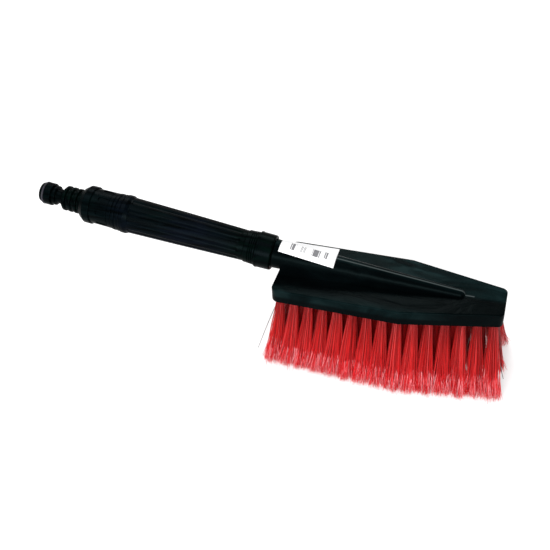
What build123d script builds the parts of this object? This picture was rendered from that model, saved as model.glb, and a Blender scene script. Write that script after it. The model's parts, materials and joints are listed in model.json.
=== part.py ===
"""Water-fed wheel brush: a bristled head, a hollow fluted handle and a twist valve with a hose plug.

Millimetres. +X runs from the hose end to the tip of the head, +Z is up, and the brush stands on its
bristle tips at z = 0. The handle side is turned about one straight axis that leaves the head at a
small angle. Places along it are given as stations: distances from the head's end wall to the hose.
"""

from build123d import *
import os
from math import atan, cos, degrees, radians, sin, tan

# Head
HEAD_REAR = -80.8             # from the middle of the head, as are the other places along it
HEAD_TIP = 78.2
HEAD_HALF_WIDTH = 27.9
TIP_HALF_WIDTH = 13.4
TAPER_START = 10.5
REAR_CORNER = 5.5
TIP_CORNER = 4.5
HEAD_HEIGHT = 10.8
WALL_DRAFT = 0.8              # degrees
SHELL_WALL = 2.3
ROOF_UNDERSIDE = 8.6
LEDGE_HEIGHT = 6.3
LEDGE_WIDTH = 2.9

# Boss that carries the water from the neck along the top of the head
BOSS_REAR = -78.2
BOSS_REAR_RADIUS = 10.6
BOSS_REAR_HEIGHT = 19.6
BOSS_TIP_RADIUS = 3.75
BOSS_TIP_HEIGHT = 10.8
BOSS_TIP = 47.0
BOSS_DRAFT = 3.0              # degrees
BOSS_WATERWAY_REAR = 6.0
BOSS_WATERWAY_TIP = 1.6
FEED_SLOT_WIDTH = 4.4

# Paper label on the boss
LABEL_FRONT = -40.5
LABEL_NEAR_EDGE = -42.0       # degrees from the top of the boss
LABEL_FAR_EDGE = 62.0
LABEL_PAPER = 0.2
LABEL_GAP = 0.05

# Tuft plate
PLATE_BOTTOM = 0.5
PLATE_TOP = 5.6
PLATE_PLAY = 0.15
TUFT_HOLE_DEPTH = 3.8
TUFT_ROOT_RADIUS = 2.8
TUFT_HOLE_PLAY = 0.1
OUTLET_RADIUS = 1.1

# Bristles
BRISTLE_DEPTH = 56.5          # floor to the underside of the head
TUFTS_PER_LONG_ROW = 15
FIRST_TUFT = -74.9
LAST_TUFT = 72.2
EDGE_TO_TUFT = 5.7
INNER_ROW_LIMIT = 46.0        # the inner rows stop where the head gets too narrow for them
LENGTHWISE_FAN = 6.5          # degrees, end tufts
SIDEWAYS_FAN_REAR = 10.0      # degrees, outer rows
SIDEWAYS_FAN_TIP = 17.0
TUFT_TIP_RADIUS_X = 5.2
TUFT_TIP_RADIUS_Y = 6.2

# Screws
SCREW_SHANK_RADIUS = 1.4
SCREW_HEAD_RADIUS = 2.5
SCREW_HEAD_HEIGHT = 1.6
SCREW_LENGTH = 7.0
SCREW_BOSS_RADIUS = 3.3
SCREW_SEAT = 0.3              # how far the screw heads lie inside the plate

# Handle axis and union thread
HANDLE_TILT = 7.3             # degrees above level
NECK_RADIUS = 10.6
NECK_SHOULDER = 7.1
NECK_END = 14.3
SOCKET_RADIUS = 6.7
SPIGOT_RADIUS = 6.4
THREAD_LEAD = 3.0
THREAD_ROOT_WIDTH = 1.7
THREAD_CREST_WIDTH = 0.9
THREAD_ROOT_RADIUS = 9.2
THREAD_CREST_RADIUS = 10.3
THREAD_START = 8.5
NUT_THREAD_START = 8.3
NUT_THREAD_CREST_RADIUS = 9.5
NUT_BORE_RADIUS = 10.6
NUT_RADIUS = 13.0
NUT_FRONT = 7.4
NUT_REAR = 19.4
NUT_FLANGE = 1.4              # inner flange at the nut's hose end, held by the clip
CLIP_FRONT = 16.3
CLIP_REAR = 17.6
SLEEVE_RADIUS = 8.0
SLEEVE_FRONT = 15.3
SPIGOT_FRONT = 2.5
SPIGOT_SEALS = (5.5, 9.5)

# Handle grip
GRIP_FRONT = 28.0
GRIP_REAR = 124.0
GRIP_MIDDLE = 80.0
GRIP_RADII = (11.2, 12.55, 13.35)
GRIP_RING_RADIUS = 14.35
FLUTES = 10
FLUTE_RADIUS = 4.6
FLUTE_DEPTH = 0.65
FLUTE_FRONT = 33.5
FLUTE_REAR = 117.0
FERRULE_RADIUS = 11.9
WATERWAY_RADIUS = 4.4
VALVE_POCKET_RADIUS = 11.2
VALVE_POCKET_FRONT = 110.7

# Valve and hose plug
SPINDLE_RADIUS = 8.2
DISC_RADIUS = 10.7
WINDOW_INNER = 2.6
WINDOW_OUTER = 7.6
WINDOW_ANGLE = 84.0           # degrees; two windows in each disc
VALVE_TURN = 90.0             # degrees between open and shut
SEAT_FRONT = 111.5
ROTOR_FRONT = 115.2
COLLAR_FRONT = 118.5          # thrust collar of the spindle
COLLAR_REAR = 121.0
SPINDLE_SEALS = (124.0, 128.0)
BAND_REAR = 130.3
LUG_FRONT = 128.5
KNOB_FRONT = 130.6
KNOB_REAR = 148.0
CAP_REAR = 156.8
LUG_HALF_ANGLE = 8.0          # degrees
PLUG_TAIL_SEAL = 153.0
PLUG_BORE = 4.2
PLUG_RING_RADIUS = 8.4
PLUG_RING_FRONT = 182.8
PLUG_RING_REAR = 187.8
PLUG_END = 192.3
PLUG_FIRST_RIB = 162.0
PLUG_RIB_PITCH = 4.65

# Places in the model's frame
HEAD_MIDDLE = 93.055         # puts the middle of the whole brush at x = 0
HEAD = Pos(HEAD_MIDDLE, 0, BRISTLE_DEPTH)
ALONG_HANDLE = (-cos(radians(HANDLE_TILT)), 0, sin(radians(HANDLE_TILT)))
ACROSS_HANDLE = (sin(radians(HANDLE_TILT)), 0, cos(radians(HANDLE_TILT)))
NECK_ORIGIN = (BOSS_REAR, 0, BOSS_REAR_HEIGHT)
HANDLE = HEAD * Plane(NECK_ORIGIN, x_dir=ACROSS_HANDLE, z_dir=ALONG_HANDLE).location
NECK = Plane(NECK_ORIGIN, x_dir=ACROSS_HANDLE, z_dir=ALONG_HANDLE).location


def turned(*outline):
    """Solid turned about the handle axis from (station, radius, corner round) points."""
    points = [(radius, 0, station) for station, radius, *_ in outline]
    rounds = [point[2] if len(point) > 2 else 0 for point in outline]
    return revolve(make_face(FilletPolyline(*points, radius=rounds, close=True)), Axis.Z)


def ring(start, end, inner, outer):
    """Plain ring between two stations."""
    return turned((start, inner), (start, outer), (end, outer), (end, inner))


def bar(start, end, radius):
    """Plain round bar between two stations."""
    return Pos(0, 0, (start + end) / 2) * Cylinder(radius, end - start)


def o_ring(station, middle_radius, section_radius):
    return Pos(0, 0, station) * Torus(middle_radius, section_radius)


def sector(start, end, inner, outer, first_angle, last_angle):
    """Part of a ring between two angles, measured from the top of the handle."""
    wedge = extrude(wedge_face(outer * 1.6, first_angle, last_angle), amount=end - start)
    return ring(start, end, inner, outer) & Pos(0, 0, start) * wedge


def wedge_face(reach, first_angle, last_angle):
    steps = 4
    turn = (last_angle - first_angle) / steps
    angles = [radians(first_angle + turn * step) for step in range(steps + 1)]
    rim = [(reach * cos(angle), reach * sin(angle)) for angle in angles]
    return make_face(Polyline((0, 0), *rim, close=True))


def helical_tooth(start, turns, root_radius, crest_radius):
    """Thread tooth along a helix about the handle axis."""
    path = Pos(0, 0, start) * Helix(THREAD_LEAD, THREAD_LEAD * turns, root_radius)
    corners = [
        (root_radius, 0, start - THREAD_ROOT_WIDTH / 2),
        (crest_radius, 0, start - THREAD_CREST_WIDTH / 2),
        (crest_radius, 0, start + THREAD_CREST_WIDTH / 2),
        (root_radius, 0, start + THREAD_ROOT_WIDTH / 2),
    ]
    return sweep(make_face(Polyline(*corners, close=True)), path=path, is_frenet=True)


# ---------------------------------------------------------------- head

def head_plan(inset):
    """Plan outline of the head, moved inwards by inset."""
    sides = [(HEAD_REAR, -HEAD_HALF_WIDTH), (TAPER_START, -HEAD_HALF_WIDTH), (HEAD_TIP, -TIP_HALF_WIDTH)]
    mirrored = [(x, -y) for x, y in reversed(sides)]
    plan = make_face(Polyline(*sides, *mirrored, close=True))
    plan = fillet(plan.vertices().group_by(Axis.X)[0], REAR_CORNER)
    plan = fillet(plan.vertices().group_by(Axis.X)[-1], TIP_CORNER)
    return offset(plan, amount=-inset) if inset else plan


def slab(inset, bottom, top):
    """Head-shaped slab between two heights above the underside of the head."""
    return Pos(0, 0, bottom) * extrude(head_plan(inset), amount=top - bottom)


def boss_height(x):
    """Height of the boss's centre line above the underside of the head."""
    share = (x - BOSS_REAR) / (BOSS_TIP - BOSS_REAR)
    return BOSS_REAR_HEIGHT + share * (BOSS_TIP_HEIGHT - BOSS_REAR_HEIGHT)


def boss_radius(x):
    share = (x - BOSS_REAR) / (BOSS_TIP - BOSS_REAR)
    return BOSS_REAR_RADIUS + share * (BOSS_TIP_RADIUS - BOSS_REAR_RADIUS)


def boss_section(x, radius, foot):
    """Round-topped section with drafted sides, standing across the head."""
    draft = radians(BOSS_DRAFT)
    centre = boss_height(x)
    side = radius * cos(draft)
    shoulder = centre + radius * sin(draft)
    spread = side + (shoulder - foot) * tan(draft)
    arc = ThreePointArc((x, -side, shoulder), (x, 0, centre + radius), (x, side, shoulder))
    skirt = Polyline((x, side, shoulder), (x, spread, foot), (x, -spread, foot), (x, -side, shoulder))
    return make_face([arc, *skirt.edges()])


def boss():
    foot = ROOF_UNDERSIDE
    rear = boss_section(BOSS_REAR, BOSS_REAR_RADIUS, foot)
    front = boss_section(BOSS_TIP, BOSS_TIP_RADIUS, foot)
    body = loft([rear, front], ruled=True)
    tip = Pos(BOSS_TIP, 0, BOSS_TIP_HEIGHT) * Sphere(BOSS_TIP_RADIUS)
    tip_foot = Pos(BOSS_TIP, 0, (foot + BOSS_TIP_HEIGHT) / 2)
    tip_foot *= Cone(BOSS_TIP_RADIUS + 0.1, BOSS_TIP_RADIUS, BOSS_TIP_HEIGHT - foot)
    return body + tip + tip_foot


def neck():
    """Threaded neck that the handle's union nut screws onto."""
    collar = turned((-8, 0), (-8, NECK_RADIUS - 1), (NECK_SHOULDER, NECK_RADIUS, 0.6), (NECK_SHOULDER, 0))
    barrel = turned((0, 0), (0, THREAD_ROOT_RADIUS), (NECK_END, THREAD_ROOT_RADIUS, 0.5), (NECK_END, 0))
    tooth = helical_tooth(THREAD_START, 1.55, THREAD_ROOT_RADIUS - 0.2, THREAD_CREST_RADIUS)
    return NECK * (collar + (barrel + tooth))


def waterway():
    """Hollow from the spigot socket through the boss to the chamber over the tuft plate."""
    rear = BOSS_REAR
    front = BOSS_TIP - 7
    slope = degrees(atan((boss_height(rear) - boss_height(front)) / (front - rear)))
    length = (front - rear) / cos(radians(slope))
    middle = ((rear + front) / 2, 0, (boss_height(rear) + boss_height(front)) / 2)
    cone = Pos(*middle) * Rot(0, 90 + slope, 0) * Cone(BOSS_WATERWAY_REAR, BOSS_WATERWAY_TIP, length)
    floor = ROOF_UNDERSIDE - 0.5
    slot_rear = rear + 22
    slot_outline = Polyline(
        (slot_rear, 0, floor),
        (front, 0, floor),
        (front, 0, boss_height(front)),
        (slot_rear, 0, boss_height(slot_rear)),
        close=True,
    )
    slot = extrude(make_face(slot_outline), amount=FEED_SLOT_WIDTH / 2, both=True)
    socket = NECK * (bar(1, NECK_END + 1, SOCKET_RADIUS) + bar(-6, 2, WATERWAY_RADIUS + 0.6))
    return cone + slot + socket


def screw_sites():
    """Places between the tufts where screws hold the plate, as (x, y)."""
    pitch = tuft_pitch()
    outer = HEAD_HALF_WIDTH - EDGE_TO_TUFT
    sites = [(FIRST_TUFT + pitch * step, 0.815 * outer) for step in (1.5, 6.5)]
    sites.append((FIRST_TUFT + pitch * 12.5, 6.3))
    return [(x, side * y) for x, y in sites for side in (-1, 1)]


def head_shell():
    body = extrude(head_plan(0), amount=HEAD_HEIGHT, taper=WALL_DRAFT)
    body = fillet(body.edges().group_by(Axis.Z)[-1], 1.2)
    body = body + boss() + neck()
    body -= slab(SHELL_WALL, -1, LEDGE_HEIGHT)
    body -= slab(SHELL_WALL + LEDGE_WIDTH, LEDGE_HEIGHT - 0.1, ROOF_UNDERSIDE)
    for x, y in screw_sites():
        body += Pos(x, y, (PLATE_TOP + HEAD_HEIGHT - 1) / 2) * Cylinder(
            SCREW_BOSS_RADIUS, HEAD_HEIGHT - 1 - PLATE_TOP
        )
    body -= waterway()
    depth = PLATE_BOTTOM + SCREW_SEAT + SCREW_HEAD_HEIGHT + SCREW_LENGTH + 0.2
    holes = [Pos(x, y, depth / 2) * Cylinder(SCREW_SHANK_RADIUS, depth) for x, y in screw_sites()]
    return body - holes


def tuft_pitch():
    return (LAST_TUFT - FIRST_TUFT) / (TUFTS_PER_LONG_ROW - 1)


def row_reach(x):
    """How far from the centre line the outer tufts stand at x."""
    taper = (HEAD_HALF_WIDTH - TIP_HALF_WIDTH) / (HEAD_TIP - TAPER_START)
    return HEAD_HALF_WIDTH - max(0, x - TAPER_START) * taper - EDGE_TO_TUFT


def tuft_sites(share):
    """Root places of one lengthwise row; share is the row's place between centre and edge."""
    inner = abs(share) == 0.5
    start = FIRST_TUFT + (tuft_pitch() / 2 if inner else 0)
    xs = [start + tuft_pitch() * step for step in range(TUFTS_PER_LONG_ROW)]
    if inner:
        xs = [x for x in xs if x < INNER_ROW_LIMIT]
    return [(x, share * row_reach(x)) for x in xs]


ROWS = {
    "tufts_near_outer": -1.0,
    "tufts_near_inner": -0.5,
    "tufts_middle": 0.0,
    "tufts_far_inner": 0.5,
    "tufts_far_outer": 1.0,
}


def outlet_sites():
    sites = [(FIRST_TUFT + tuft_pitch() * step, 5.65) for step in (2, 4, 6, 8, 10)]
    sites.append((FIRST_TUFT + tuft_pitch() * 12, 6.9))
    return [(x, side * y) for x, y in sites for side in (-1, 1)]


def tuft_plate():
    plate = slab(SHELL_WALL + PLATE_PLAY, PLATE_BOTTOM, PLATE_TOP)
    depth = TUFT_HOLE_DEPTH
    hole = Cylinder(TUFT_ROOT_RADIUS + TUFT_HOLE_PLAY, depth)
    cuts = []
    for share in ROWS.values():
        cuts += [Pos(x, y, PLATE_BOTTOM + depth / 2) * hole for x, y in tuft_sites(share)]
    cuts += [Pos(x, y, PLATE_TOP / 2) * Cylinder(OUTLET_RADIUS, 2 * PLATE_TOP) for x, y in outlet_sites()]
    for x, y in screw_sites():
        cuts.append(Pos(x, y, PLATE_TOP / 2) * Cylinder(SCREW_SHANK_RADIUS + 0.2, 2 * PLATE_TOP))
        recess = SCREW_HEAD_HEIGHT + SCREW_SEAT
        cuts.append(Pos(x, y, PLATE_BOTTOM + recess / 2) * Cylinder(SCREW_HEAD_RADIUS + 0.3, recess))
    return plate - cuts


def plate_gasket():
    outside = slab(SHELL_WALL + PLATE_PLAY, PLATE_TOP, LEDGE_HEIGHT)
    return outside - slab(SHELL_WALL + LEDGE_WIDTH, PLATE_TOP - 1, LEDGE_HEIGHT + 1)


def plate_screws():
    """Pan-head screws, driven upwards through the plate into the shell."""
    bottom = PLATE_BOTTOM + SCREW_SEAT
    head = Pos(0, 0, bottom + SCREW_HEAD_HEIGHT / 2) * Cylinder(SCREW_HEAD_RADIUS, SCREW_HEAD_HEIGHT)
    head = fillet(head.edges().group_by(Axis.Z)[0], 0.5)
    head -= Pos(0, 0, bottom + 0.4) * Box(0.7, 3.2, 0.9)
    head -= Pos(0, 0, bottom + 0.4) * Box(3.2, 0.7, 0.9)
    shank_base = bottom + SCREW_HEAD_HEIGHT
    shank = Pos(0, 0, shank_base + SCREW_LENGTH / 2) * Cylinder(SCREW_SHANK_RADIUS, SCREW_LENGTH)
    screw = head + shank
    return Compound([Pos(x, y, 0) * screw for x, y in screw_sites()])


def tuft(x, y, share):
    """One plain flared bundle, trimmed level with the floor."""
    lean_x = tan(radians(LENGTHWISE_FAN * x / -FIRST_TUFT))
    forward = (x - FIRST_TUFT) / (LAST_TUFT - FIRST_TUFT)
    lean_y = tan(radians(share * (SIDEWAYS_FAN_REAR + forward * (SIDEWAYS_FAN_TIP - SIDEWAYS_FAN_REAR))))
    drop = BRISTLE_DEPTH + PLATE_BOTTOM
    root_plane = Plane((x, y, PLATE_BOTTOM))
    tip_plane = Plane((x + lean_x * drop, y + lean_y * drop, -BRISTLE_DEPTH))
    root_face = root_plane * Circle(TUFT_ROOT_RADIUS)
    tip_face = tip_plane * Ellipse(TUFT_TIP_RADIUS_X, TUFT_TIP_RADIUS_Y)
    root_top = PLATE_BOTTOM + TUFT_HOLE_DEPTH
    root = Pos(x, y, (PLATE_BOTTOM + root_top) / 2) * Cylinder(TUFT_ROOT_RADIUS, TUFT_HOLE_DEPTH)
    return loft([root_face, tip_face], ruled=True) + root


def tuft_row(share):
    return Compound([tuft(x, y, share) for x, y in tuft_sites(share)])


def tuft_anchors():
    """Flat wire staples across the folded roots of the tufts."""
    staple = Box(2 * TUFT_ROOT_RADIUS + 1.2, 0.5, 1.8)
    height = PLATE_BOTTOM + TUFT_HOLE_DEPTH - 1.4
    anchors = []
    for share in ROWS.values():
        anchors += [Pos(x, y, height) * Rot(0, 0, 30) * staple for x, y in tuft_sites(share)]
    return Compound(anchors)


def boss_label():
    """Paper bar-code label stuck around the top of the boss next to the union nut."""
    sections = []
    for x in (BOSS_REAR - 3.0, LABEL_FRONT):
        radius = boss_radius(x) + LABEL_GAP
        across_boss = Plane((x, 0, boss_height(x)), x_dir=(0, 1, 0), z_dir=(1, 0, 0))
        sections.append(across_boss * label_strip(radius))
    return loft(sections, ruled=True)


def label_strip(radius):
    """Arc strip from the near shoulder of the boss over the top to its far side."""
    near, far = radians(LABEL_NEAR_EDGE), radians(LABEL_FAR_EDGE)
    middle = (near + far) / 2
    inner = [(radius * sin(angle), radius * cos(angle)) for angle in (near, middle, far)]
    reach = radius + LABEL_PAPER
    outer = [(reach * sin(angle), reach * cos(angle)) for angle in (near, middle, far)]
    return make_face([
        ThreePointArc(*inner),
        Line(inner[2], outer[2]),
        ThreePointArc(*reversed(outer)),
        Line(outer[0], inner[0]),
    ])


# ---------------------------------------------------------------- handle

def grip_radius(station):
    """Outer radius of the grip, a little larger towards the hose end."""
    widest = FLUTE_REAR + 1
    if station < GRIP_MIDDLE:
        share = (station - GRIP_FRONT) / (GRIP_MIDDLE - GRIP_FRONT)
        return GRIP_RADII[0] + share * (GRIP_RADII[1] - GRIP_RADII[0])
    return GRIP_RADII[1] + (station - GRIP_MIDDLE) / (widest - GRIP_MIDDLE) * (GRIP_RADII[2] - GRIP_RADII[1])


def flute():
    """Long shallow groove with a run-out at its front end."""
    start, end = FLUTE_FRONT, FLUTE_REAR
    start_radius = grip_radius(start) + FLUTE_RADIUS - FLUTE_DEPTH
    end_radius = grip_radius(end) + FLUTE_RADIUS - FLUTE_DEPTH
    rise = degrees(atan((end_radius - start_radius) / (end - start)))
    length = (end - start) / cos(radians(rise))
    middle = Pos((start_radius + end_radius) / 2, 0, (start + end) / 2)
    groove = middle * Rot(0, rise, 0) * Cylinder(FLUTE_RADIUS, length)
    runout = Pos(start_radius, 0, start) * Sphere(FLUTE_RADIUS)
    return groove + runout


def handle_grip():
    """Fluted hollow handle with the spigot that plugs into the head."""
    outside = turned(
        (SPIGOT_FRONT, 0),
        (SPIGOT_FRONT, SPIGOT_RADIUS, 0.6),
        (SLEEVE_FRONT, SPIGOT_RADIUS),
        (SLEEVE_FRONT, SLEEVE_RADIUS, 0.3),
        (GRIP_FRONT, SLEEVE_RADIUS),
        (GRIP_FRONT, grip_radius(GRIP_FRONT), 0.5),
        (GRIP_MIDDLE, grip_radius(GRIP_MIDDLE)),
        (FLUTE_REAR + 1, grip_radius(FLUTE_REAR + 1), 2),
        (FLUTE_REAR + 3.4, GRIP_RING_RADIUS, 1),
        (GRIP_REAR, GRIP_RING_RADIUS, 0.8),
        (GRIP_REAR, 0),
    )
    hollow = turned(
        (0, 0),
        (0, WATERWAY_RADIUS),
        (GRIP_FRONT + 2, WATERWAY_RADIUS),
        (GRIP_FRONT + 8, 8.3),
        (VALVE_POCKET_FRONT, 9.6),
        (VALVE_POCKET_FRONT, VALVE_POCKET_RADIUS),
        (GRIP_REAR + 1, VALVE_POCKET_RADIUS),
        (GRIP_REAR + 1, 0),
    )
    clip_groove = ring(CLIP_FRONT - 0.1, CLIP_REAR + 0.1, 7.2, 9)
    seal_grooves = [ring(station - 1, station + 1, 5.45, 7) for station in SPIGOT_SEALS]
    flutes = [Rot(0, 0, 360 / FLUTES * step) * flute() for step in range(FLUTES)]
    return outside - hollow - clip_groove - seal_grooves - flutes


def handle_ferrule():
    """Cuff with fine rings next to the nut, pressed over the front of the handle."""
    front = NUT_REAR + 0.3
    outline = [(front, SLEEVE_RADIUS), (front, FERRULE_RADIUS + 0.35, 0.4)]
    for step in range(3):
        station = front + 1.3 + 1.5 * step
        crest = FERRULE_RADIUS + 0.35 - 0.12 * step
        outline += [(station, crest), (station + 0.35, crest - 0.45), (station + 0.7, crest - 0.05)]
    outline += [(GRIP_FRONT, FERRULE_RADIUS - 0.1, 0.3), (GRIP_FRONT, SLEEVE_RADIUS)]
    return turned(*outline)


def union_nut():
    """Nut that turns freely behind the clip and pulls the spigot into the neck."""
    rim = NUT_REAR - 1.6
    flange = NUT_REAR - NUT_FLANGE
    body = turned(
        (NUT_FRONT, NUT_BORE_RADIUS),
        (NUT_FRONT, NUT_RADIUS - 0.2, 1.1),
        (rim, NUT_RADIUS),
        (rim, NUT_RADIUS + 0.25, 0.1),
        (NUT_REAR, NUT_RADIUS + 0.25, 0.4),
        (NUT_REAR, SLEEVE_RADIUS + 0.3),
        (flange, SLEEVE_RADIUS + 0.3),
        (flange, NUT_BORE_RADIUS),
    )
    # half a lead behind the neck's tooth
    phase = 360 * (NUT_THREAD_START - THREAD_START + THREAD_LEAD / 2) / THREAD_LEAD
    tooth = helical_tooth(NUT_THREAD_START, 1.75, NUT_BORE_RADIUS + 0.3, NUT_THREAD_CREST_RADIUS)
    return body + Rot(0, 0, phase) * tooth


def nut_clip():
    """Open spring ring in the sleeve's groove; it holds the nut on the handle."""
    whole = ring(CLIP_FRONT, CLIP_REAR, 7.2, 9.9)
    return whole - sector(CLIP_FRONT - 1, CLIP_REAR + 1, 0.5, 12, -14, 14)


def spigot_orings():
    return Compound([o_ring(station, 6.05, 0.55) for station in SPIGOT_SEALS])


def coupling_washer():
    return ring(NECK_END + 0.1, SLEEVE_FRONT, SPIGOT_RADIUS, 8.9)


def window(start, end, first_angle):
    return sector(start, end, WINDOW_INNER, WINDOW_OUTER, first_angle, first_angle + WINDOW_ANGLE)


def windowed_disc(start, end, radius):
    """Valve disc with two opposite windows."""
    disc = bar(start, end, radius)
    first = -WINDOW_ANGLE / 2
    return disc - window(start - 1, end + 1, first) - window(start - 1, end + 1, first + 180)


def valve_seat():
    """Fixed disc, held in the handle's pocket."""
    return windowed_disc(SEAT_FRONT, ROTOR_FRONT - 0.2, VALVE_POCKET_RADIUS)


def seat_gasket():
    return ring(VALVE_POCKET_FRONT, SEAT_FRONT, 8.4, VALVE_POCKET_RADIUS)


def valve_rotor():
    """Turning disc; a quarter turn covers the seat's windows."""
    return windowed_disc(ROTOR_FRONT, COLLAR_FRONT, DISC_RADIUS)


def lock_ring():
    """Double-banded ring that closes the handle and holds the spindle in."""
    front = COLLAR_REAR + 0.3
    plug_radius = VALVE_POCKET_RADIUS - 0.1
    bore = SPINDLE_RADIUS + 0.3
    body = turned(
        (front, bore),
        (front, plug_radius),
        (GRIP_REAR, plug_radius),
        (GRIP_REAR, 13.9, 0.5),
        (126.2, 13.9, 0.5),
        (126.6, 13.2),
        (127.5, 13.2),
        (127.9, 13.8, 0.5),
        (BAND_REAR, 13.75, 0.5),
        (BAND_REAR, bore),
    )
    first = -LUG_HALF_ANGLE - 1
    last = VALVE_TURN + LUG_HALF_ANGLE + 1
    return body - sector(LUG_FRONT - 0.3, BAND_REAR + 1, 9.4, 12.5, first, last)


def valve_spindle():
    """Hollow spindle with a thrust collar; it carries the rotor and the hose plug."""
    body = turned(
        (COLLAR_FRONT, 5.2),
        (COLLAR_FRONT, DISC_RADIUS),
        (COLLAR_REAR, DISC_RADIUS),
        (COLLAR_REAR, SPINDLE_RADIUS),
        (CAP_REAR, SPINDLE_RADIUS),
        (CAP_REAR, 6.5),
        (149.5, 6.5),
        (149.5, 5.2),
    )
    return body - [ring(station - 1, station + 1, 7.25, 9) for station in SPINDLE_SEALS]


def spindle_orings():
    return Compound([o_ring(station, 7.85, 0.55) for station in SPINDLE_SEALS])


def knob_recess(angle):
    """Rounded recess between the knob's broad ribs."""
    cutter = Pos(14.6, 0, 138.6) * Box(4.4, 3.4, 8.2)
    return Rot(0, 0, angle) * fillet(cutter.edges().filter_by(Axis.X), 1.2)


def valve_knob():
    """Ribbed sleeve that the hand turns; its lug runs in the lock ring's pocket."""
    web = KNOB_FRONT + 2.2
    groove = 133.4
    body = turned(
        (KNOB_FRONT, SPINDLE_RADIUS),
        (KNOB_FRONT, 13.4, 0.4),
        (groove, 13.35),
        (groove + 0.15, 12.95),
        (groove + 0.5, 12.95),
        (groove + 0.65, 13.3),
        (KNOB_REAR, 13.15),
        (KNOB_REAR, 11.2),
        (web, 11.2),
        (web, SPINDLE_RADIUS),
    )
    lug = sector(LUG_FRONT, KNOB_FRONT + 0.5, 9.7, 12.2, -LUG_HALF_ANGLE, LUG_HALF_ANGLE)
    recesses = [knob_recess(360 / 8 * (step + 0.5)) for step in range(8)]
    return body + lug - recesses


def knob_cap():
    """Chamfered flange that closes the hose end of the knob."""
    return turned(
        (144.0, 9.4),
        (144.0, 11.2),
        (KNOB_REAR, 11.2),
        (KNOB_REAR, 14.15, 0.5),
        (153.2, 14.15, 0.9),
        (CAP_REAR, 11.6, 0.5),
        (CAP_REAR, SPINDLE_RADIUS),
        (152.5, SPINDLE_RADIUS),
        (152.5, 9.4),
    )


def hose_plug():
    """Ribbed click plug that a hose connector snaps onto, with its tail in the spindle."""
    outline = [
        (150.0, PLUG_BORE),
        (150.0, 6.4),
        (PLUG_TAIL_SEAL - 0.7, 6.4),
        (PLUG_TAIL_SEAL - 0.7, 5.3),
        (PLUG_TAIL_SEAL + 0.7, 5.3),
        (PLUG_TAIL_SEAL + 0.7, 6.4),
        (CAP_REAR, 6.4),
        (CAP_REAR, 9.8, 0.4),
        (159.0, 9.8, 0.7),
        (159.9, 8.0),
    ]
    for step in range(3):
        crest = PLUG_FIRST_RIB + PLUG_RIB_PITCH * step
        outline += [
            (crest - 1.6, 8.0, 0.3),
            (crest - 1.0, 9.4, 0.5),
            (crest + 0.8, 9.4, 0.5),
            (crest + 1.6, 8.0, 0.3),
        ]
    outline += [
        (173.5, 7.9, 0.5),
        (174.9, 5.5, 0.8),
        (179.2, 5.5, 0.4),
        (179.5, 7.3, 0.4),
        (181.7, 7.3, 0.4),
        (182.0, 6.4),
        (PLUG_RING_FRONT, 6.4),
        (PLUG_RING_FRONT, PLUG_RING_RADIUS, 0.4),
        (PLUG_RING_REAR, PLUG_RING_RADIUS, 0.3),
        (PLUG_RING_REAR + 0.1, 6.9),
        (PLUG_RING_REAR + 2.3, 6.9),
        (PLUG_RING_REAR + 2.4, 7.8, 0.2),
        (PLUG_END, 7.1, 0.9),
        (PLUG_END, PLUG_BORE, 0.6),
    ]
    return turned(*outline)


def plug_oring():
    return o_ring(PLUG_RING_REAR + 1.2, 7.75, 0.8)


def tail_oring():
    return o_ring(PLUG_TAIL_SEAL, 5.9, 0.55)


def main():
    parts = {
        "head_shell": HEAD * head_shell(),
        "tuft_plate": HEAD * tuft_plate(),
        "plate_gasket": HEAD * plate_gasket(),
        "plate_screws": HEAD * plate_screws(),
        "tuft_anchors": HEAD * tuft_anchors(),
        "boss_label": HEAD * boss_label(),
        "handle_grip": HANDLE * handle_grip(),
        "handle_ferrule": HANDLE * handle_ferrule(),
        "coupling_washer": HANDLE * coupling_washer(),
        "nut_clip": HANDLE * nut_clip(),
        "spigot_orings": HANDLE * spigot_orings(),
        "union_nut": HANDLE * union_nut(),
        "valve_seat": HANDLE * valve_seat(),
        "seat_gasket": HANDLE * seat_gasket(),
        "lock_ring": HANDLE * lock_ring(),
        "valve_rotor": HANDLE * valve_rotor(),
        "valve_spindle": HANDLE * valve_spindle(),
        "spindle_orings": HANDLE * spindle_orings(),
        "valve_knob": HANDLE * valve_knob(),
        "knob_cap": HANDLE * knob_cap(),
        "hose_plug": HANDLE * hose_plug(),
        "plug_oring": HANDLE * plug_oring(),
        "tail_oring": HANDLE * tail_oring(),
    }
    for name, share in ROWS.items():
        parts[name] = HEAD * tuft_row(share)
    os.makedirs("parts", exist_ok=True)
    for name, shape in parts.items():
        export_step(shape, f"parts/{name}.step")


main()
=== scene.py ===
"""Looks of the wheel brush: loose bristles, a paper label and moulded plastic around the CAD frame."""
import json
import math

import bmesh
import bpy
import numpy as np
from mathutils import Matrix, Vector


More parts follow.
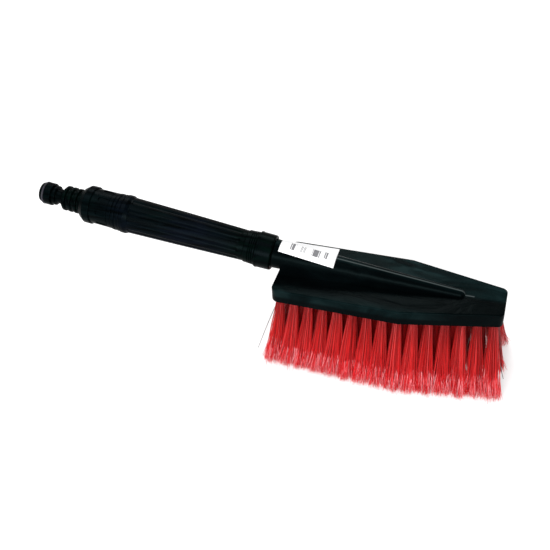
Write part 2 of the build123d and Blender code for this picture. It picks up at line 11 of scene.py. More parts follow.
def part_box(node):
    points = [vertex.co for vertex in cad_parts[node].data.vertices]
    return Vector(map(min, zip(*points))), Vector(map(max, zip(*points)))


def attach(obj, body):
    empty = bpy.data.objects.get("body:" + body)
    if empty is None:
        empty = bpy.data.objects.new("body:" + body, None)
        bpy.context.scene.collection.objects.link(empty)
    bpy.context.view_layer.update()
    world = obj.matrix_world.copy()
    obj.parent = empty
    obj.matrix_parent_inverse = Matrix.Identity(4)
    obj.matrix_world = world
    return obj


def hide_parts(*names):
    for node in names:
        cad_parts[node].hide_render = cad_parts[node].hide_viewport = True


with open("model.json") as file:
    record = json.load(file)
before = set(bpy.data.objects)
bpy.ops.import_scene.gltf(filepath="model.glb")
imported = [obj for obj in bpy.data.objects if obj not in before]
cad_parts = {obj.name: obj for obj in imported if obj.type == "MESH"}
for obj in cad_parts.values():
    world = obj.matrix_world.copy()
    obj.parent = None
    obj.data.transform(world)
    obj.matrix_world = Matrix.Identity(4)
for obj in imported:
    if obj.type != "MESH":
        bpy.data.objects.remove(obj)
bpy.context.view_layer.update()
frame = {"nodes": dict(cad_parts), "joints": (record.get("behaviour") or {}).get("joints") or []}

MM = 0.001
NODES = frame["nodes"]
JOINTS = {joint["name"]: joint for joint in frame["joints"]}

# The union nut's joint lies on the handle's axis, which points to the hose end.
HANDLE_AXIS = Vector(JOINTS["nut_turn"]["axis"]).normalized()
HANDLE_POINT = Vector(JOINTS["nut_turn"]["pos_m"])

# Camera
CAMERA_AZIMUTH = math.radians(21.15)
CAMERA_ELEVATION = math.radians(42.63)
CAMERA_ROLL = math.radians(-4.8)
CAMERA_DISTANCE = 0.552
CAMERA_LENS = 50.67
TIP_TO_MIDDLE = 0.0782        # from the head's tip back to the point that the camera is aimed from
AIM_FROM_HEAD = Vector((-0.0812, -0.0133, 0.0118))

# Painted shade and a painted highlight on the head's plastic: each pair is where one starts and where it
# ends
RIDGE_PAINTED_SHADE = (-3 * MM, 1 * MM)                  # across the ridge of the boss
NEAR_EDGE_PAINTED_SHADE = (1.4 * MM, 8.9 * MM)           # in from the near edge
LOW_PAINTED_SHADE = (4 * MM, 8 * MM)                     # up from the underside
RIDGE_HIGHLIGHT_EDGE = (0.2 * MM, 0.8 * MM)         # out from the ridge
RIDGE_HIGHLIGHT_SPAN = (121.26 * MM, 21.26 * MM)    # back from the tip
RIDGE_HIGHLIGHT_FOOT = 10.3 * MM                    # up from the underside

# Tufts
TUFT_ROWS = ("near_outer", "near_inner", "middle", "far_inner", "far_outer")
FIRST_ROW_SEED = 11
SAME_PLACE = 0.01 * MM        # mesh points closer than this are one corner of a CAD tuft
INNER_ROW_PAINTED_SHADE = 0.25        # painted shade between the tufts: strands of the inner rows stay deep red

# Strands
STRANDS_PER_TUFT = 235
STRAND_RADIUS = 0.15 * MM
STRAND_STEPS = 4
STRAND_TAPER = 0.35           # share of its radius that a strand loses by its tip
STRAND_BOW = 0.45 * MM
ROOT_RADIUS = 2.65 * MM
ROOT_DEPTH = 0.6 * MM         # how far the strands reach into the plate
TIP_SPREAD = Vector((7.6, 6.0)) * MM
LEAST_SPREAD = 0.82           # each strand takes at least this share of the tip spread
EXTRA_SPREAD = 0.26
SPREAD_NOISE = 0.05
FLARE = 1.22                  # above 1, strands spread late and the gaps between tufts reach lower
TRIM_UNEVENNESS = 1.5 * MM
TRIM_SKEW = 1.4               # above 1, most strands are nearly as long as the longest
TRIM_LIFT = (0.1, 0.9)        # millimetres from the floor, one value for each tuft
FLOOR_GAP = 0.1 * MM
STRAY_FROM = 0.965            # strands that draw more than this bend away from their tuft
STRAY_REACH = 2.2 * MM
ASIDE = (0.0, 1.0, 0.13)      # a direction that no strand runs in

# Split ends of the strands
SPLITS_PER_STRAND = 2
SPLIT_RADIUS = 0.12 * MM
SPLIT_STEPS = 2
SPLIT_TAPER = 0.45            # share of its radius that is left at a split end's tip
SPLIT_SPAN = (0.70, 0.88)     # share of a strand's length at which its split ends leave it
SPLIT_DRIFT = 1.5 * MM
SPLIT_DRIFT_LIMIT = 2.6 * MM
SPLIT_DRIFT_SHARES = (1, 1, 0.3)
SPLIT_CURL = 1.4
SPLIT_NOISE = 0.14 * MM

# Grey filaments that stand away from the bristles
FILAMENT_SEED = 61
FILAMENT_RADIUS = 0.26 * MM
FILAMENT_RINGS = 9

# Label: a sheet rolled on the boss about the handle's axis
LABEL_RADIUS = 10.75 * MM
LABEL_WIDTH = 18.2 * MM
LABEL_THICKNESS = 0.12 * MM
LABEL_NEAR_EDGE = (36, 45)    # degrees from the top of the boss, at the label's rear and front ends
LABEL_STUCK_TO = (-42, -1)    # degrees at which the sheet leaves the boss, at the same ends
LABEL_STEPS_ALONG = 30
LABEL_STEPS_ACROSS = 24
BAR_PITCHES = 105             # bar widths in the label's length
BAR_SHARE_BLANK = 0.36
BAR_INK = 0.93
BAR_GROUPS = (                # start and end along the label, low and high across it, as shares
    (0.18, 0.28, 0.40, 0.78),
    (0.37, 0.45, 0.44, 0.76),
    (0.57, 0.72, 0.40, 0.78),
    (0.79, 0.89, 0.38, 0.74),
)

# Stage
FLOOR_SIZE = 6
FLOOR_HEIGHT = -0.6 * MM
WORLD_STRENGTH = 0.5
LIT_POINT = (0, 0, 0.06)
LIGHTS = (                    # name, place, size, power
    ("front", (0.15, -1.3, 0.55), (1.2, 0.5), 25),
    ("top", (-0.4, -0.2, 1.5), (0.8, 0.8), 8),
    ("back", (-0.25, 0.85, 0.95), (0.7, 0.35), 6),
)


# ---------------------------------------------------------------- node helpers

class Shader:
    """A Principled material with short calls for the nodes that feed it."""

    def __init__(self, name):
        self.material = bpy.data.materials.new(name)
        self.material.use_nodes = True
        self.tree = self.material.node_tree
        self.surface = self.tree.nodes["Principled BSDF"]

    def set(self, **values):
        """Fixed values on the Principled shader's own sockets."""
        for name, value in values.items():
            self.surface.inputs[name.replace("_", " ")].default_value = value

    def node(self, kind, **values):
        made = self.tree.nodes.new(kind)
        for name, value in values.items():
            setattr(made, name, value)
        return made

    def link(self, source, target):
        self.tree.links.new(source, target)

    def place(self, stretch=(1, 1, 1), turn=(0, 0, 0)):
        """Object coordinates, stretched so that noise on them can run along a direction."""
        where = self.node("ShaderNodeTexCoord")
        mapping = self.node("ShaderNodeMapping")
        mapping.inputs["Rotation"].default_value = turn
        mapping.inputs["Scale"].default_value = stretch
        self.link(where.outputs["Object"], mapping.inputs["Vector"])
        return mapping.outputs["Vector"]

    def noise(self, vector, scale, detail=3.0, distortion=0.0):
        made = self.node("ShaderNodeTexNoise")
        made.inputs["Scale"].default_value = scale
        made.inputs["Detail"].default_value = detail
        made.inputs["Distortion"].default_value = distortion
        self.link(vector, made.inputs["Vector"])
        return made.outputs["Fac"]

    def ramp(self, value, *stops):
        made = self.node("ShaderNodeValToRGB")
        elements = made.color_ramp.elements
        while len(elements) < len(stops):
            elements.new(0.5)
        for element, (position, colour) in zip(elements, stops):
            element.position = position
            element.color = (*colour, 1)
        self.link(value, made.inputs["Fac"])
        return made.outputs["Color"]

    def stretch(self, value, low, high, start=0.0, end=1.0):
        """Low where the value is at start, high where it is at end, and a ramp between."""
        made = self.node("ShaderNodeMapRange")
        made.inputs["From Min"].default_value = start
        made.inputs["From Max"].default_value = end
        made.inputs["To Min"].default_value = low
        made.inputs["To Max"].default_value = high
        self.link(value, made.inputs["Value"])
        return made.outputs["Result"]

    def calc(self, operation, first, second):
        made = self.node("ShaderNodeMath", operation=operation)
        for socket, value in zip(made.inputs, (first, second)):
            if isinstance(value, (int, float)):
                socket.default_value = value
            else:
                self.link(value, socket)
        return made.outputs["Value"]

    def mix(self, share, first, second):
        """Mix of two colours, where 0 gives the first; the Mix node's colour sockets go by number."""
        made = self.node("ShaderNodeMix", data_type="RGBA")
        factor, colour_a, colour_b, result = made.inputs[0], made.inputs[6], made.inputs[7], made.outputs[2]
        for socket, value in zip((factor, colour_a, colour_b), (share, first, second)):
            if isinstance(value, (int, float)):
                socket.default_value = value
            elif isinstance(value, tuple):
                socket.default_value = (*value, 1)
            else:
                self.link(value, socket)
        return result

    def bump(self, height, strength, distance, under=None):
        made = self.node("ShaderNodeBump")
        made.inputs["Strength"].default_value = strength
        made.inputs["Distance"].default_value = distance
        self.link(height, made.inputs["Height"])
        if under is not None:
            self.link(under, made.inputs["Normal"])
        return made.outputs["Normal"]

    def axis(self, letter):
        """One of the object coordinates; CAD nodes are drawn in the shared frame, in metres."""
        where = self.node("ShaderNodeTexCoord")
        split = self.node("ShaderNodeSeparateXYZ")
        self.link(where.outputs["Object"], split.inputs["Vector"])
        return split.outputs[letter]

    def attribute(self, name):
        return self.node("ShaderNodeAttribute", attribute_name=name).outputs["Fac"]

    def colour(self, value):
        self.link(value, self.surface.inputs["Base Color"])

    def roughness(self, value):
        self.link(value, self.surface.inputs["Roughness"])

    def normal(self, value):
        self.link(value, self.surface.inputs["Normal"])


# ---------------------------------------------------------------- materials

def head_plastic():
    """Glossy black moulding with a green cast, wavy flow marks whose lighter teal streaks are partly
    painted sheen, and a painted highlight line along the ridge of the boss.

    The near half of the boss and the lower band of the rim are painted darker than the top face: partly
    painted shade and partly the plastic's own darker tone.
    """
    shader = Shader("head_plastic")
    shader.set(Specular_IOR_Level=0.016, Specular_Tint=(0.6, 1.0, 1.0, 1))
    flow_and_sheen = shader.noise(shader.place((0.8, 1.9, 1.0)), 30, 3, 1.6)
    grain = shader.noise(shader.place(), 1400, 2)
    cloud = shader.noise(shader.place(), 19, 3)
    across = shader.axis("Y")
    low_corner, high_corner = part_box("head_shell")
    # Partly painted sheen: the lighter teal streaks of this ramp stand for wavy reflections on the gloss as
    # well as for flow marks.
    body = shader.ramp(
        flow_and_sheen,
        (0.34, (0.0003, 0.0016, 0.0019)),
        (0.50, (0.0026, 0.0090, 0.0098)),
        (0.66, (0.0095, 0.0230, 0.0240)),
    )
    deep = shader.mix(shader.stretch(cloud, 0.7, 0.0, 0.35, 0.58), body, (0.0008, 0.0042, 0.0046))
    # Painted shade: the near half of the boss is darkened, less so close to the near rim.
    boss_half = shader.stretch(across, 0.92, 0.0, *RIDGE_PAINTED_SHADE)
    off_the_rim = shader.stretch(across, 0.45, 1.0, *offset(low_corner.y, NEAR_EDGE_PAINTED_SHADE))
    near_painted_shade = shader.calc("MULTIPLY", boss_half, off_the_rim)
    # Painted shade, partly the plastic's own darker tone: the lower band of the rim darkens towards the
    # underside.
    low = shader.stretch(shader.axis("Z"), 0.9, 0.0, *offset(low_corner.z, LOW_PAINTED_SHADE))
    shaded = shader.mix(shader.calc("MAXIMUM", near_painted_shade, low), deep, (0.0003, 0.0005, 0.0007))
    # Painted highlight: a thin light grey line along the ridge of the boss.
    line = painted_ridge_highlight(shader, across, high_corner.x, low_corner.z)
    shader.colour(shader.mix(line, shaded, (0.075, 0.090, 0.090)))
    shader.roughness(shader.stretch(cloud, 0.26, 0.42))
    waves = shader.bump(flow_and_sheen, 0.30, 0.003)
    shader.normal(shader.bump(grain, 0.08, 0.0002, waves))
    return shader.material


def offset(start, distances):
    """Places at the distances from the start."""
    return [start + distance for distance in distances]


def painted_ridge_highlight(shader, across, tip, underside):
    """Mask of a painted highlight: a thin light line along the ridge of the boss."""
    ridge = shader.stretch(shader.calc("ABSOLUTE", across, 0), 0.65, 0.0, *RIDGE_HIGHLIGHT_EDGE)
    rear, front = RIDGE_HIGHLIGHT_SPAN
    span = between(shader, shader.axis("X"), tip - rear, tip - front)
    high = shader.calc("GREATER_THAN", shader.axis("Z"), underside + RIDGE_HIGHLIGHT_FOOT)
    return shader.calc("MULTIPLY", ridge, shader.calc("MULTIPLY", span, high))


def handle_plastic():
    """Satin black moulding with faint drag lines along the handle."""
    shader = Shader("handle_plastic")
    shader.set(Specular_IOR_Level=0.018, Specular_Tint=(0.6, 0.9, 1.0, 1))
    tilt = math.atan2(HANDLE_AXIS.z, -HANDLE_AXIS.x)
    lines = shader.noise(shader.place((0.12, 1.6, 1.6), (0, tilt, 0)), 260, 3)
    cloud = shader.noise(shader.place(), 60, 3)
    grain = shader.noise(shader.place(), 1800, 2)
    patches = shader.noise(shader.place(), 16, 2)
    tint = shader.ramp(patches, (0.38, (0.0004, 0.0026, 0.0018)), (0.60, (0.0012, 0.0020, 0.0044)))
    dragged = shader.mix(shader.stretch(lines, 0.0, 1.0, 0.38, 0.62), (0.0001, 0.0003, 0.0004), tint)
    clouded = shader.stretch(cloud, 0.0, 0.5, 0.45, 0.7)
    shader.colour(shader.mix(clouded, dragged, (0.0002, 0.0006, 0.0010)))
    shader.roughness(shader.stretch(lines, 0.20, 0.40))
    streaks = shader.bump(lines, 0.12, 0.0006)
    shader.normal(shader.bump(grain, 0.1, 0.0002, streaks))
    return shader.material


def plate_plastic():
    """Matt black underside with a fine spark-eroded grain."""
    shader = Shader("plate_plastic")
    shader.set(Specular_IOR_Level=0.3)
    cloud = shader.noise(shader.place(), 90, 3)
    grain = shader.noise(shader.place(), 2600, 3)
    shader.colour(shader.ramp(cloud, (0.3, (0.004, 0.005, 0.0055)), (0.7, (0.010, 0.012, 0.0125))))
    shader.roughness(shader.stretch(cloud, 0.5, 0.68))
    shader.normal(shader.bump(grain, 0.3, 0.0003))
    return shader.material


def seal_rubber():
    """Black rubber with a dusty bloom."""
    shader = Shader("seal_rubber")
    shader.set(Specular_IOR_Level=0.35)
    bloom = shader.noise(shader.place(), 420, 4)
    shader.colour(shader.ramp(bloom, (0.35, (0.005, 0.005, 0.009)), (0.75, (0.022, 0.022, 0.036))))
    shader.roughness(shader.stretch(bloom, 0.42, 0.7))
    shader.normal(shader.bump(bloom, 0.15, 0.0003))
    return shader.material


def steel():
    """Brushed stainless steel."""
    shader = Shader("steel")
    shader.set(Metallic=1.0)
    lines = shader.noise(shader.place((1, 9, 9)), 500, 3)
    shader.colour(shader.ramp(lines, (0.3, (0.42, 0.42, 0.43)), (0.7, (0.62, 0.62, 0.61))))
    shader.roughness(shader.stretch(lines, 0.24, 0.45))
    shader.normal(shader.bump(lines, 0.1, 0.0002))
    return shader.material


def acetal():
    """Off-white valve disc with a lapped face."""
    shader = Shader("acetal")
    lines = shader.noise(shader.place((1, 5, 5)), 300, 3)
    shader.colour(shader.ramp(lines, (0.3, (0.62, 0.61, 0.56)), (0.7, (0.72, 0.71, 0.67))))
    shader.roughness(shader.stretch(lines, 0.3, 0.45))
    shader.normal(shader.bump(lines, 0.06, 0.0002))
    return shader.material


def bristle_red():
    """Red filament, brighter and frayed to pink towards its tip; the darkening towards its root and on the
    inner rows is painted shade.
    """
    shader = Shader("bristle_red")
    shader.set(Specular_IOR_Level=0.25)
    along = shader.attribute("along")
    shade = shader.attribute("shade")
    frayed = shader.attribute("frayed")
    # Painted shade: the strands darken towards their roots, under the head and between the tufts.
    body = shader.ramp(
        along,
        (0.0, (0.17, 0.003, 0.003)),
        (0.4, (0.60, 0.010, 0.010)),
        (1.0, (0.90, 0.018, 0.024)),
    )
    # Deep red for strands of low shade value: random tone on the outer rows, painted shade on the inner
    # rows, whose values stay low.
    varied = shader.mix(shader.stretch(shade, 0.88, 0.0, 0.0, 0.7), body, (0.11, 0.001, 0.002))
    pale = shader.mix(shader.stretch(shade, 0.0, 0.6, 0.85, 1.0), varied, (0.95, 0.11, 0.11))
    frosted = shader.mix(shader.stretch(shade, 0.0, 1.0, 0.5, 1.0), (0.72, 0.010, 0.016), (1.0, 0.46, 0.50))
    shader.colour(shader.mix(frayed, pale, frosted))
    shader.roughness(shader.stretch(shade, 0.28, 0.5))
    return shader.material


def grey_filament():
    """Dark grey filament of the stray bristles."""
    shader = Shader("grey_filament")
    along = shader.attribute("along")
    shader.colour(shader.ramp(along, (0.0, (0.06, 0.03, 0.03)), (1.0, (0.10, 0.095, 0.095))))
    shader.roughness(shader.stretch(along, 0.3, 0.45))
    return shader.material


def label_paper():
    """Coated white paper with a generic bar code: bars only, in four groups."""
    shader = Shader("label_paper")
    shader.set(Specular_IOR_Level=0.3)
    where = shader.node("ShaderNodeUVMap", uv_map="label")
    split = shader.node("ShaderNodeSeparateXYZ")
    shader.link(where.outputs["UV"], split.inputs["Vector"])
    along, across = split.outputs["X"], split.outputs["Y"]
    bars = bar_groups(shader, along, across)
    fibre = shader.noise(shader.place(), 900, 4)
    paper = shader.ramp(fibre, (0.3, (0.80, 0.80, 0.81)), (0.7, (0.88, 0.88, 0.88)))
    shader.colour(shader.mix(bars, paper, (0.10, 0.10, 0.11)))
    shader.roughness(shader.stretch(fibre, 0.4, 0.55))
    shader.normal(shader.bump(fibre, 0.08, 0.0001))
    return shader.material


def bar_groups(shader, along, across):
    """Mask that is 1 on the printed bars; widths come from noise on a fine ruler along the label."""
    ruler = shader.node("ShaderNodeCombineXYZ")
    steps = shader.calc("FLOOR", shader.calc("MULTIPLY", along, BAR_PITCHES), 0)
    shader.link(steps, ruler.inputs["X"])
    chance = shader.node("ShaderNodeTexWhiteNoise", noise_dimensions="3D")
    shader.link(ruler.outputs["Vector"], chance.inputs["Vector"])
    inked = shader.calc("GREATER_THAN", chance.outputs["Value"], BAR_SHARE_BLANK)
    groups = None
    for start, end, low, high in BAR_GROUPS:
        inside = between(shader, along, start, end)
        inside = shader.calc("MULTIPLY", inside, between(shader, across, low, high))
        groups = inside if groups is None else shader.calc("MAXIMUM", groups, inside)
    return shader.calc("MULTIPLY", shader.calc("MULTIPLY", groups, inked), BAR_INK)


def between(shader, value, low, high):
    """Mask that is 1 where the value lies between low and high."""
    above = shader.calc("GREATER_THAN", value, low)
    below = shader.calc("LESS_THAN", value, high)
    return shader.calc("MULTIPLY", above, below)


def paint(material, *nodes):
    """Give carried-over CAD nodes their material."""
    for name in nodes:
        mesh = NODES[name].data
        mesh.materials.clear()
        mesh.materials.append(material)


# ---------------------------------------------------------------- bristles

def tuft_ends(node):
    """Root centre and tip centre of each tuft in a CAD row, from its separate solids."""
    mesh = bmesh.new()
    mesh.from_mesh(NODES[node].data)
    bmesh.ops.remove_doubles(mesh, verts=mesh.verts, dist=SAME_PLACE)
    unseen = set(mesh.verts)
    ends = []
    while unseen:
        island = grow_island(unseen.pop(), unseen)
        heights = [vertex.co.z for vertex in island]
        root = [vertex.co for vertex in island if vertex.co.z > max(heights) - SAME_PLACE]
        tip = [vertex.co for vertex in island if vertex.co.z < min(heights) + SAME_PLACE]
        ends.append((middle(root), middle(tip)))
    mesh.free()
    return sorted(ends, key=lambda pair: pair[0].x)


def grow_island(seed, unseen):
    """The vertices joined to the seed by edges, taken out of unseen."""
    island, front = [seed], [seed]
    while front:
        for edge in front.pop().link_edges:
            for vertex in edge.verts:
                if vertex in unseen:
                    unseen.discard(vertex)
                    island.append(vertex)
                    front.append(vertex)
    return island


def middle(points):
    """Middle of the box around the points."""
    low = Vector([min(point[axis] for point in points) for axis in range(3)])
    high = Vector([max(point[axis] for point in points) for axis in range(3)])
    return (low + high) / 2


def disc_points(rng, count):
    """Random places spread evenly over a unit disc."""
    reach = rng.random(count) ** 0.5
    angle = rng.random(count) * 2 * math.pi
    return np.stack([reach * np.cos(angle), reach * np.sin(angle)], axis=1)


def strand_paths(rng, root, tip, exit_height):
    """Centre lines of one tuft's strands, from inside the plate to near the floor."""
    count = STRANDS_PER_TUFT
    seat = disc_points(rng, count)
    share_of_spread = LEAST_SPREAD + EXTRA_SPREAD * rng.random((count, 1))
    spread = seat * share_of_spread + rng.normal(0, SPREAD_NOISE, (count, 2))
    start = np.zeros((count, 3))
    start[:, :2] = np.array(root)[:2] + seat * ROOT_RADIUS
    start[:, 2] = exit_height + ROOT_DEPTH
    end = np.zeros((count, 3))
    end[:, :2] = np.array(tip)[:2] + spread * np.array(TIP_SPREAD)
    end[:, 2] = rng.random(count) ** TRIM_SKEW * TRIM_UNEVENNESS + rng.uniform(*TRIM_LIFT) * MM
    end[:, 2] = np.maximum(end[:, 2], FLOOR_GAP)
    share = np.linspace(0, 1, STRAND_STEPS + 1)[None, :, None]
    flare = np.concatenate([share ** FLARE, share ** FLARE, share], axis=2)
    paths = start[:, None] + (end - start)[:, None] * flare
    bow = rng.normal(0, STRAND_BOW, (count, 1, 2))
    paths[:, :, :2] += bow * np.sin(share * math.pi)
    stray = rng.random((count, 1, 1)) > STRAY_FROM
    paths[:, :, :2] += stray * rng.normal(0, STRAY_REACH, (count, 1, 2)) * share ** 2
    return paths


def split_paths(rng, paths):
    """Fine frayed ends that leave each strand near its tip."""
    count = len(paths)
    splits = []
    for _ in range(SPLITS_PER_STRAND):
        begin = rng.uniform(*SPLIT_SPAN, count)
        share = begin[:, None] + (1 - begin)[:, None] * np.linspace(0, 1, SPLIT_STEPS + 1)[None]
        line = along_paths(paths, share)
        drift = np.clip(rng.normal(0, SPLIT_DRIFT, (count, 1, 3)), -SPLIT_DRIFT_LIMIT, SPLIT_DRIFT_LIMIT)
        drift = drift * np.array(SPLIT_DRIFT_SHARES)
        reach = np.linspace(0, 1, SPLIT_STEPS + 1)[None, :, None]
        line = line + drift * reach ** SPLIT_CURL + rng.normal(0, SPLIT_NOISE, line.shape) * reach
        line[:, :, 2] = np.maximum(line[:, :, 2], FLOOR_GAP)
        splits.append((line, share))
    return splits


def along_paths(paths, share):
    """Points at the given shares of each path."""
    steps = paths.shape[1] - 1
    place = np.clip(share * steps, 0, steps - 1e-9)
    below = place.astype(int)
    part = (place - below)[:, :, None]
    rows = np.arange(len(paths))[:, None]
    return paths[rows, below] * (1 - part) + paths[rows, below + 1] * part


class StrandMesh:
    """Collects three-sided strands and makes one mesh of them."""

    def __init__(self):
        self.points, self.quads, self.caps = [], [], []
        self.values = {"along": [], "shade": [], "frayed": []}
        self.size = 0

    def add(self, rng, paths, radii, along, shade, frayed):
        """Tubes of three sides around the paths.

        paths: count x rings x 3; radii: one per ring; along: count x rings; shade: one per strand.
        """
        count, rings = paths.shape[:2]
        direction = paths[:, -1] - paths[:, 0]
        direction /= np.linalg.norm(direction, axis=1, keepdims=True)
        side = np.cross(direction, np.array(ASIDE))
        side /= np.linalg.norm(side, axis=1, keepdims=True)
        other = np.cross(direction, side)
        angles = rng.random((count, 1)) * 2 * math.pi + np.arange(3)[None] * 2 * math.pi / 3
        wheel = side[:, None] * np.cos(angles)[:, :, None] + other[:, None] * np.sin(angles)[:, :, None]
        points = paths[:, :, None] + wheel[:, None] * np.asarray(radii)[None, :, None, None]
        self.points.append(points.reshape(-1, 3))
        strand_start = (np.arange(count) * rings * 3)[:, None, None]
        ring_start = (np.arange(rings - 1) * 3)[None, :, None]
        first = self.size + strand_start + ring_start
        corner = np.arange(3)[None, None]
        following = (corner + 1) % 3
        onward = first + 3
        quads = np.stack([first + corner, first + following, onward + following, onward + corner], axis=-1)
        self.quads.append(quads.reshape(-1, 4))
        last = self.size + (np.arange(count) * rings + rings - 1)[:, None] * 3
        self.caps.append(np.concatenate([last, last + 1, last + 2], axis=1))
        self.values["along"].append(np.repeat(along.reshape(-1), 3))
        self.values["shade"].append(np.repeat(shade, rings * 3))
        self.values["frayed"].append(np.full(count * rings * 3, float(frayed)))
        self.size += count * rings * 3

    def make(self, name, material):
        mesh = bpy.data.meshes.new(name)
        points, quads, caps = (np.concatenate(part) for part in (self.points, self.quads, self.caps))
        starts = np.concatenate([np.arange(len(quads)) * 4, len(quads) * 4 + np.arange(len(caps)) * 3])
        corners = np.concatenate([quads.ravel(), caps.ravel()])
        mesh.vertices.add(len(points))
        mesh.vertices.foreach_set("co", points.ravel())
        mesh.loops.add(len(corners))
        mesh.loops.foreach_set("vertex_index", corners)
        mesh.polygons.add(len(starts))
        mesh.polygons.foreach_set("loop_start", starts)
        mesh.update(calc_edges=True)
        for label, parts in self.values.items():
            layer = mesh.attributes.new(label, "FLOAT", "POINT")
            layer.data.foreach_set("value", np.concatenate(parts).astype(np.float32))
        mesh.materials.append(material)
        mesh.shade_smooth()
        piece = bpy.data.objects.new(name, mesh)
        bpy.context.scene.collection.objects.link(piece)
        return piece


def bristle_row(row, seed, material):
    """All loose strands of one lengthwise row of tufts."""
    rng = np.random.default_rng(seed)
    node = "tufts_" + row
    exit_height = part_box("tuft_plate")[0].z
    strands = StrandMesh()
    # Painted shade between the tufts: the inner rows take only low shade values, so they stay deep red.
    brightest = 1 if row.endswith("outer") else INNER_ROW_PAINTED_SHADE
    for root, tip in tuft_ends(node):
        paths = strand_paths(rng, root, tip, exit_height)
        shade = rng.random(len(paths)) * brightest
        share = np.broadcast_to(np.linspace(0, 1, STRAND_STEPS + 1), paths.shape[:2])
        radii = STRAND_RADIUS * (1 - STRAND_TAPER * np.linspace(0, 1, STRAND_STEPS + 1) ** 3)
        strands.add(rng, paths, radii, share, shade, 0)
        for line, place in split_paths(rng, paths):
            radii = SPLIT_RADIUS * np.linspace(1, SPLIT_TAPER, SPLIT_STEPS + 1)
            strands.add(rng, line, radii, place, rng.random(len(line)) * brightest, 1)
    piece = strands.make("bristles_" + row, material)
    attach(piece, "head")
    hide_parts(node)
    return piece


def stray_filaments(material):
    """Two grey filaments that stand away from the ends of the near row."""
    rng = np.random.default_rng(FILAMENT_SEED)
    left = tuft_ends("tufts_near_outer")[0]
    right = tuft_ends("tufts_near_outer")[-1]
    routes = [                # root of a tuft, then bend and end from that root in millimetres
        (left[0], Vector((-5, -3, -10)), Vector((-16, -13, -45))),
        (right[0], Vector((4, -2, -22)), Vector((13, -12, -43))),
    ]
    strands = StrandMesh()
    exit_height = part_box("tuft_plate")[0].z
    for root, bend, end in routes:
        start = np.array([root.x, root.y, exit_height])
        share = np.linspace(0, 1, FILAMENT_RINGS)[:, None]
        control = start + np.array(bend) * MM
        finish = start + np.array(end) * MM
        path = start * (1 - share) ** 2 + control * 2 * share * (1 - share) + finish * share ** 2
        radii = np.full(FILAMENT_RINGS, FILAMENT_RADIUS)
        strands.add(rng, path[None], radii, share[None, :, 0], rng.random(1), 0)
    piece = strands.make("stray_filaments", material)
    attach(piece, "head")
    return piece


# ---------------------------------------------------------------- label

def label_sheet(material):
    """Paper label: stuck over the near side of the boss, its far front corner standing free."""
    low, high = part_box("boss_label")
    length = high.x - low.x
    rear = HANDLE_POINT + HANDLE_AXIS * ((low.x - HANDLE_POINT.x) / HANDLE_AXIS.x)
    near_side = Vector((0, -1, 0))
    mesh = bmesh.new()
    layer = mesh.loops.layers.uv.new("label")
    up = Vector((-HANDLE_AXIS.z * HANDLE_AXIS.x, 0, HANDLE_AXIS.x ** 2)).normalized()
    grid = []
    for i in range(LABEL_STEPS_ALONG + 1):
        share = i / LABEL_STEPS_ALONG
        station = rear - HANDLE_AXIS * length * share
        near_edge = math.radians(at_share(LABEL_NEAR_EDGE, share))
        stuck_to = math.radians(at_share(LABEL_STUCK_TO, share))
        row = []
        for j in range(LABEL_STEPS_ACROSS + 1):
            angle = near_edge - LABEL_WIDTH * j / LABEL_STEPS_ACROSS / LABEL_RADIUS
            held = max(angle, stuck_to)
            free = (held - angle) * LABEL_RADIUS
            out = up * math.cos(held) + near_side * math.sin(held)
            onward = up * math.sin(held) - near_side * math.cos(held)
            vertex = mesh.verts.new(station + out * LABEL_RADIUS + onward * free)
            row.append((vertex, share, j / LABEL_STEPS_ACROSS))
        grid.append(row)
    for i in range(LABEL_STEPS_ALONG):
        for j in range(LABEL_STEPS_ACROSS):
            corners = [grid[i][j], grid[i + 1][j], grid[i + 1][j + 1], grid[i][j + 1]]
            face = mesh.faces.new([corner[0] for corner in corners])
            for loop, corner in zip(face.loops, corners):
                loop[layer].uv = (corner[1], 1 - corner[2])
    mesh.normal_update()
    data = bpy.data.meshes.new("label_sheet")
    mesh.to_mesh(data)
    mesh.free()
    data.materials.append(material)
    data.shade_smooth()
    piece = bpy.data.objects.new("label_sheet", data)
    bpy.context.scene.collection.objects.link(piece)
    thick = piece.modifiers.new("paper", "SOLIDIFY")
    thick.thickness = LABEL_THICKNESS
    thick.offset = 0
    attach(piece, "head")
    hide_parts("boss_label")
    return piece


def at_share(ends, share):
    """Value between two ends, at a share of the way."""
    return ends[0] + (ends[1] - ends[0]) * share


# ---------------------------------------------------------------- stage, light and camera

def make_floor():
    bpy.ops.mesh.primitive_plane_add(size=FLOOR_SIZE, location=(0, 0, FLOOR_HEIGHT))
    floor = bpy.context.object
    floor.name = "floor"
    shader = Shader("floor")
    shader.set(Base_Color=(0.62, 0.62, 0.62, 1), Roughness=0.9, Specular_IOR_Level=0.0)
    shader.set(Emission_Color=(1, 1, 1, 1), Emission_Strength=0.42)
    floor.data.materials.append(shader.material)


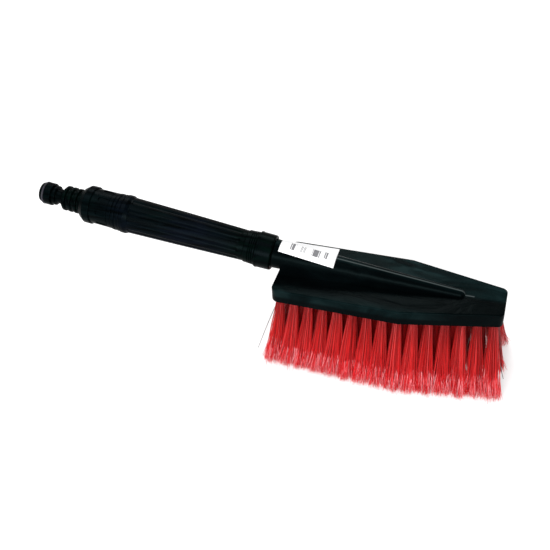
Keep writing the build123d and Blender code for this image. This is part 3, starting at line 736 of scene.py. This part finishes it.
def area_light(name, place, size, power):
    light = bpy.data.lights.new(name, "AREA")
    light.shape = "RECTANGLE"
    light.size, light.size_y = size
    light.energy = power
    holder = bpy.data.objects.new(name, light)
    holder.location = place
    holder.rotation_euler = (Vector(LIT_POINT) - Vector(place)).to_track_quat("-Z", "Y").to_euler()
    bpy.context.scene.collection.objects.link(holder)


def make_light():
    world = bpy.data.worlds.new("studio")
    world.use_nodes = True
    background = world.node_tree.nodes["Background"]
    background.inputs["Color"].default_value = (1, 1, 1, 1)
    background.inputs["Strength"].default_value = WORLD_STRENGTH
    bpy.context.scene.world = world
    for name, place, size, power in LIGHTS:
        area_light(name, place, size, power)


def make_camera():
    low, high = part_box("head_shell")
    plate_middle = Vector((high.x - TIP_TO_MIDDLE, 0, low.z))
    target = plate_middle + AIM_FROM_HEAD
    level = math.cos(CAMERA_ELEVATION)
    direction = Vector((
        math.sin(CAMERA_AZIMUTH) * level,
        -math.cos(CAMERA_AZIMUTH) * level,
        math.sin(CAMERA_ELEVATION),
    ))
    data = bpy.data.cameras.new("camera")
    data.sensor_width = 36
    data.lens = CAMERA_LENS
    camera = bpy.data.objects.new("camera", data)
    look = (-direction).to_track_quat("-Z", "Y").to_matrix().to_4x4()
    roll = Matrix.Rotation(CAMERA_ROLL, 4, "Z")
    camera.matrix_world = Matrix.Translation(target + direction * CAMERA_DISTANCE) @ look @ roll
    bpy.context.scene.collection.objects.link(camera)
    bpy.context.scene.camera = camera


make_camera()
make_light()
make_floor()

paint(head_plastic(), "head_shell")
paint(plate_plastic(), "tuft_plate")
paint(
    handle_plastic(),
    "handle_grip", "handle_ferrule", "union_nut", "lock_ring",
    "valve_knob", "knob_cap", "hose_plug", "valve_spindle",
)
paint(
    seal_rubber(),
    "plate_gasket", "coupling_washer", "spigot_orings", "seat_gasket",
    "spindle_orings", "plug_oring", "tail_oring",
)
paint(steel(), "plate_screws", "tuft_anchors", "nut_clip")
paint(acetal(), "valve_seat", "valve_rotor")

red = bristle_red()
for seed, row in enumerate(TUFT_ROWS):
    bristle_row(row, FIRST_ROW_SEED + seed, red)
stray_filaments(grey_filament())
label_sheet(label_paper())

bpy.context.scene.view_settings.view_transform = "Standard"
